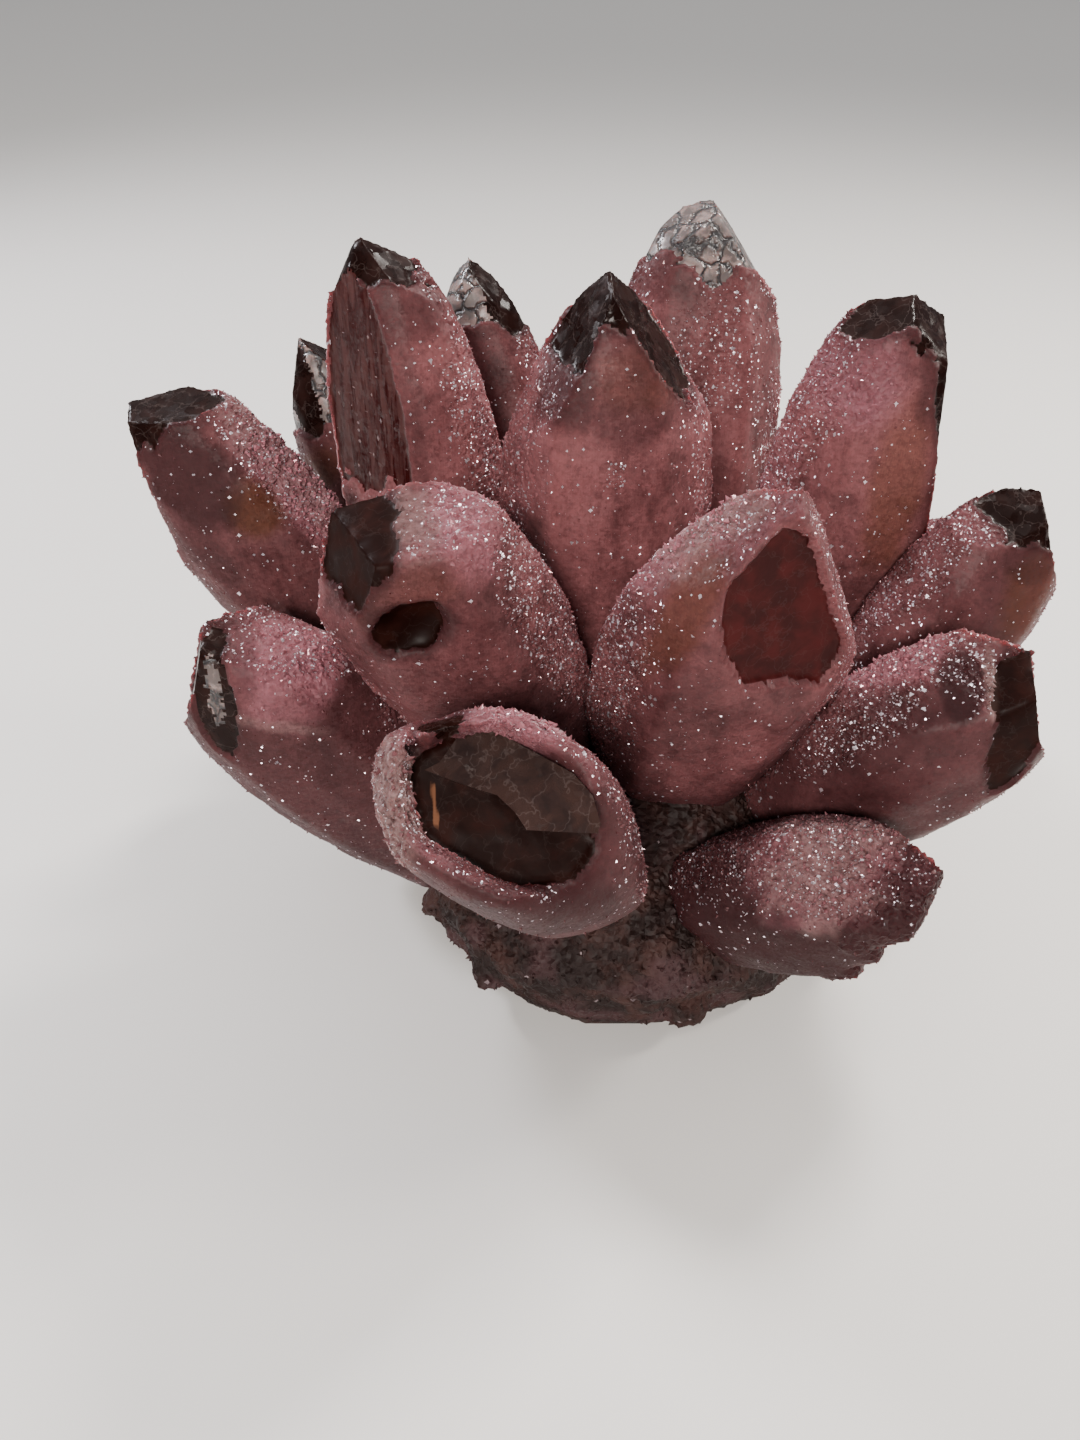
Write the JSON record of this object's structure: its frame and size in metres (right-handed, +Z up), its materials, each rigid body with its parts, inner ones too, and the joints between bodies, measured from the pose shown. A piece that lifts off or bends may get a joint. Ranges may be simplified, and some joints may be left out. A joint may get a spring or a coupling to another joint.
{
  "type": "amethyst cluster",
  "caption": "Natural amethyst cluster of leaf-shaped, druse-coated quartz points spread from a lump of matrix sawn flat to stand on, for display.",
  "frame": {"origin": "centre of the sawn flat face the cluster rests on", "axes": "+Z up, away from the resting face; -Y towards the viewer of the best side; +X to that viewer's right"},
  "size_m": [0.1195, 0.1165, 0.0963],
  "materials": {
    "druse": "sugary druse of tiny glinting crystals over smoky violet-brown quartz",
    "matrix": "dark rough druse-covered rock, sawn flat and matt underneath"
  },
  "bodies": {
    "root": {"matrix": "matrix", "point_top_front": "druse", "point_top_back": "druse", "point_top_left": "druse", "point_top_right": "druse", "point_back_small": "druse", "point_left_behind": "druse", "point_left_high": "druse", "point_left_low": "druse", "point_front_left": "druse", "point_front_broken": "druse", "point_front_right": "druse", "point_right_high": "druse", "point_right_middle": "druse", "point_right_low": "druse", "point_back_high": "druse", "point_back_right_high": "druse", "point_back_left_high": "druse", "point_right_behind": "druse", "point_left_rear": "druse", "point_back_low": "druse", "point_back_left_low": "druse", "point_back_right_low": "druse", "point_right_foot": "druse", "point_left_foot": "druse"}
  },
  "joints": []
}
